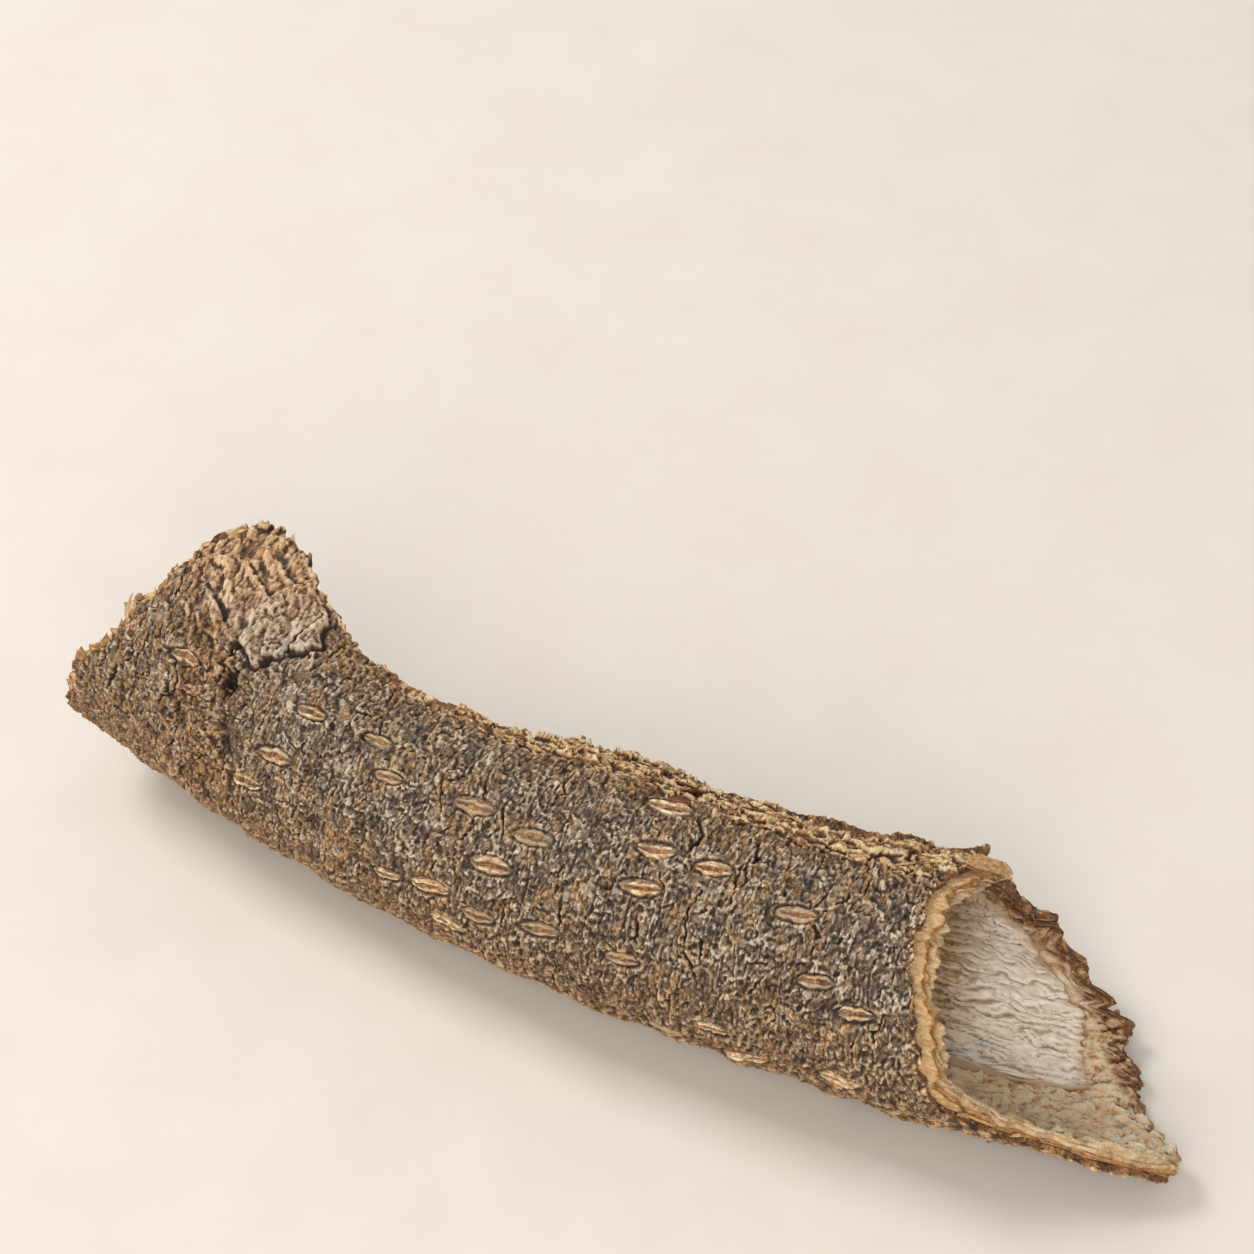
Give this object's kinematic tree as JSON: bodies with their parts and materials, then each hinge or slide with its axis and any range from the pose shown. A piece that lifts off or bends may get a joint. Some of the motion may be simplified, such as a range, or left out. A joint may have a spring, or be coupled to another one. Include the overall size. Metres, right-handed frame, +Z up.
{
  "type": "piece of bark",
  "caption": "Dry piece of tree bark, curled lengthwise into an open quill with torn edges, raised lenticels and the flared collar of a lost twig.",
  "frame": {"origin": "on the worn flat that the quill rests on, under the middle of its length", "axes": "+X along the quill towards its pointed tongue, +Y towards the back where the slit opens, +Z up"},
  "size_m": [0.1466, 0.0376, 0.0387],
  "materials": {
    "bark": "rough dry grey-brown bark, cream where torn, pale grey inside"
  },
  "bodies": {
    "root": {"bark": "bark"}
  },
  "joints": []
}
